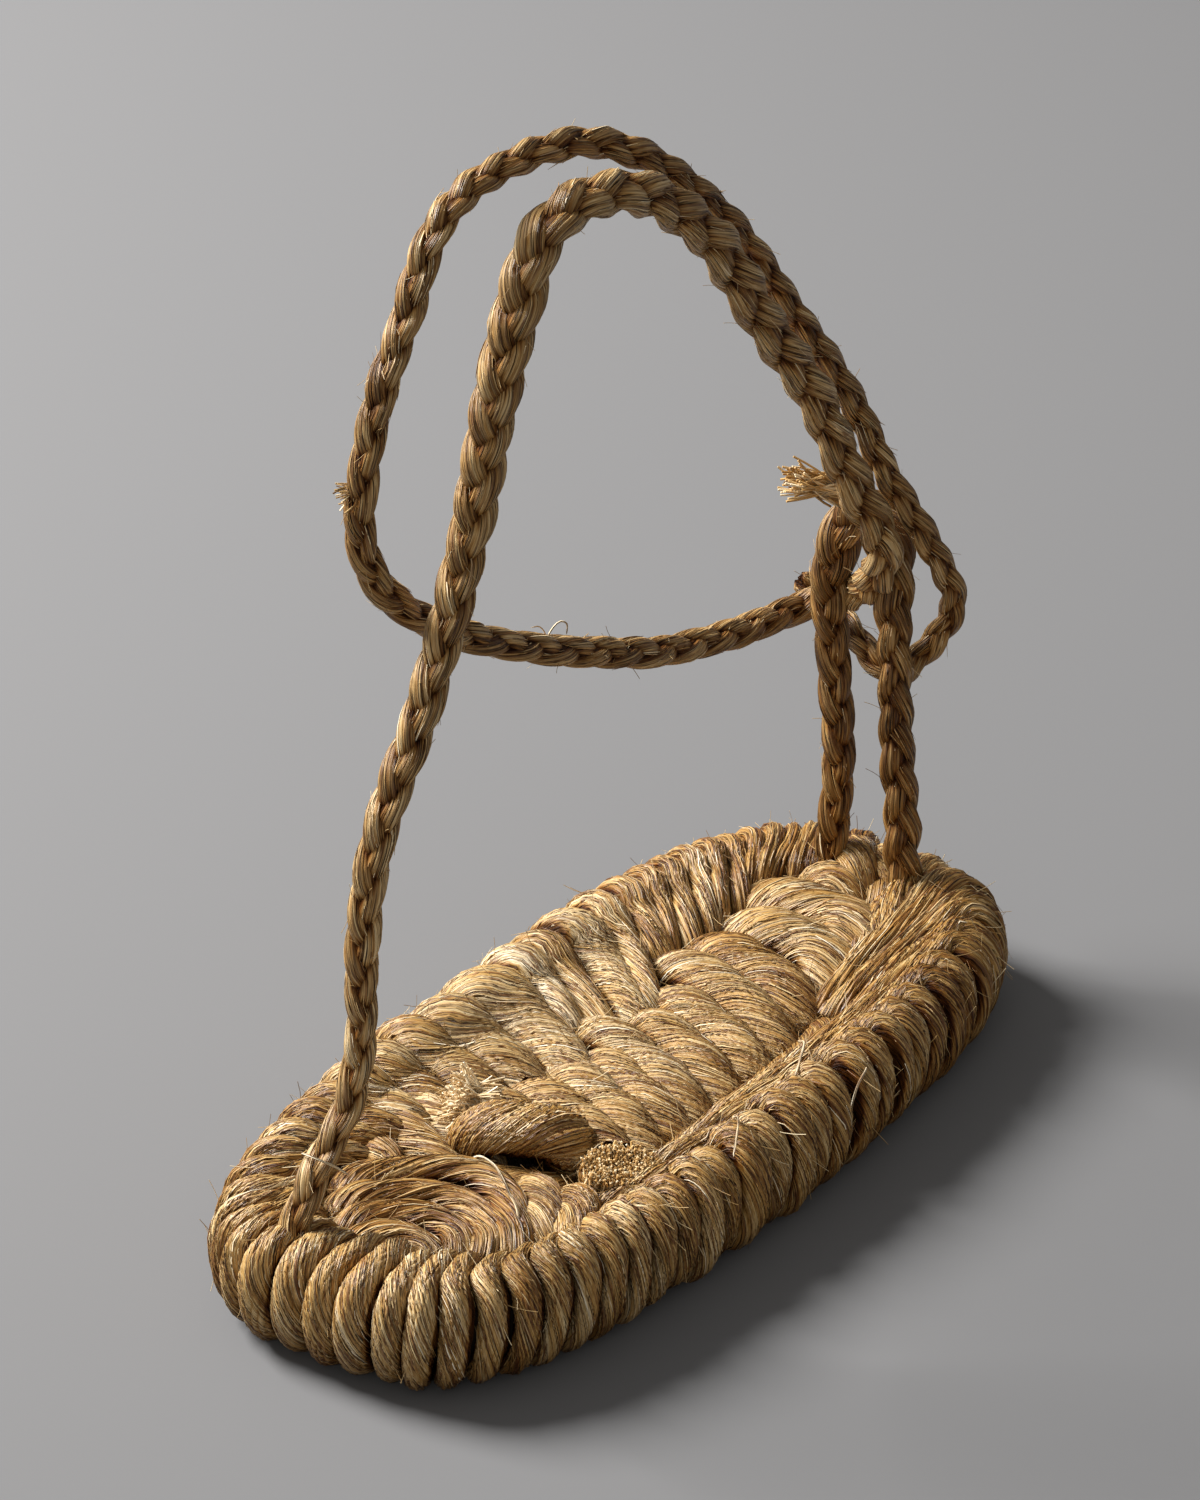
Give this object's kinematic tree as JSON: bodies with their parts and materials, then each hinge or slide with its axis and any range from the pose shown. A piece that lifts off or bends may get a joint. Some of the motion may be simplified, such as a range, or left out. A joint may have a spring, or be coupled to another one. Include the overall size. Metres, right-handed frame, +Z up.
{
  "type": "straw sandal",
  "caption": "Woven straw sandal with a thick plaited sole, a standing toe cord, a heel loop and an ankle tie.",
  "frame": {"origin": "middle of the sole's flat underside", "axes": "+Z up, toe towards -Y, heel towards +Y, +X to the wearer's left"},
  "size_m": [0.105, 0.2459, 0.2506],
  "materials": {
    "sole_straw": "rough",
    "cord_straw": "rough",
    "pale_straw": "rough"
  },
  "bodies": {
    "root": {"sole": "sole_straw", "upper_straps": "cord_straw", "ankle_tie": "cord_straw", "weft_end_cut": "pale_straw", "weft_end_tucked": "sole_straw"}
  },
  "joints": []
}
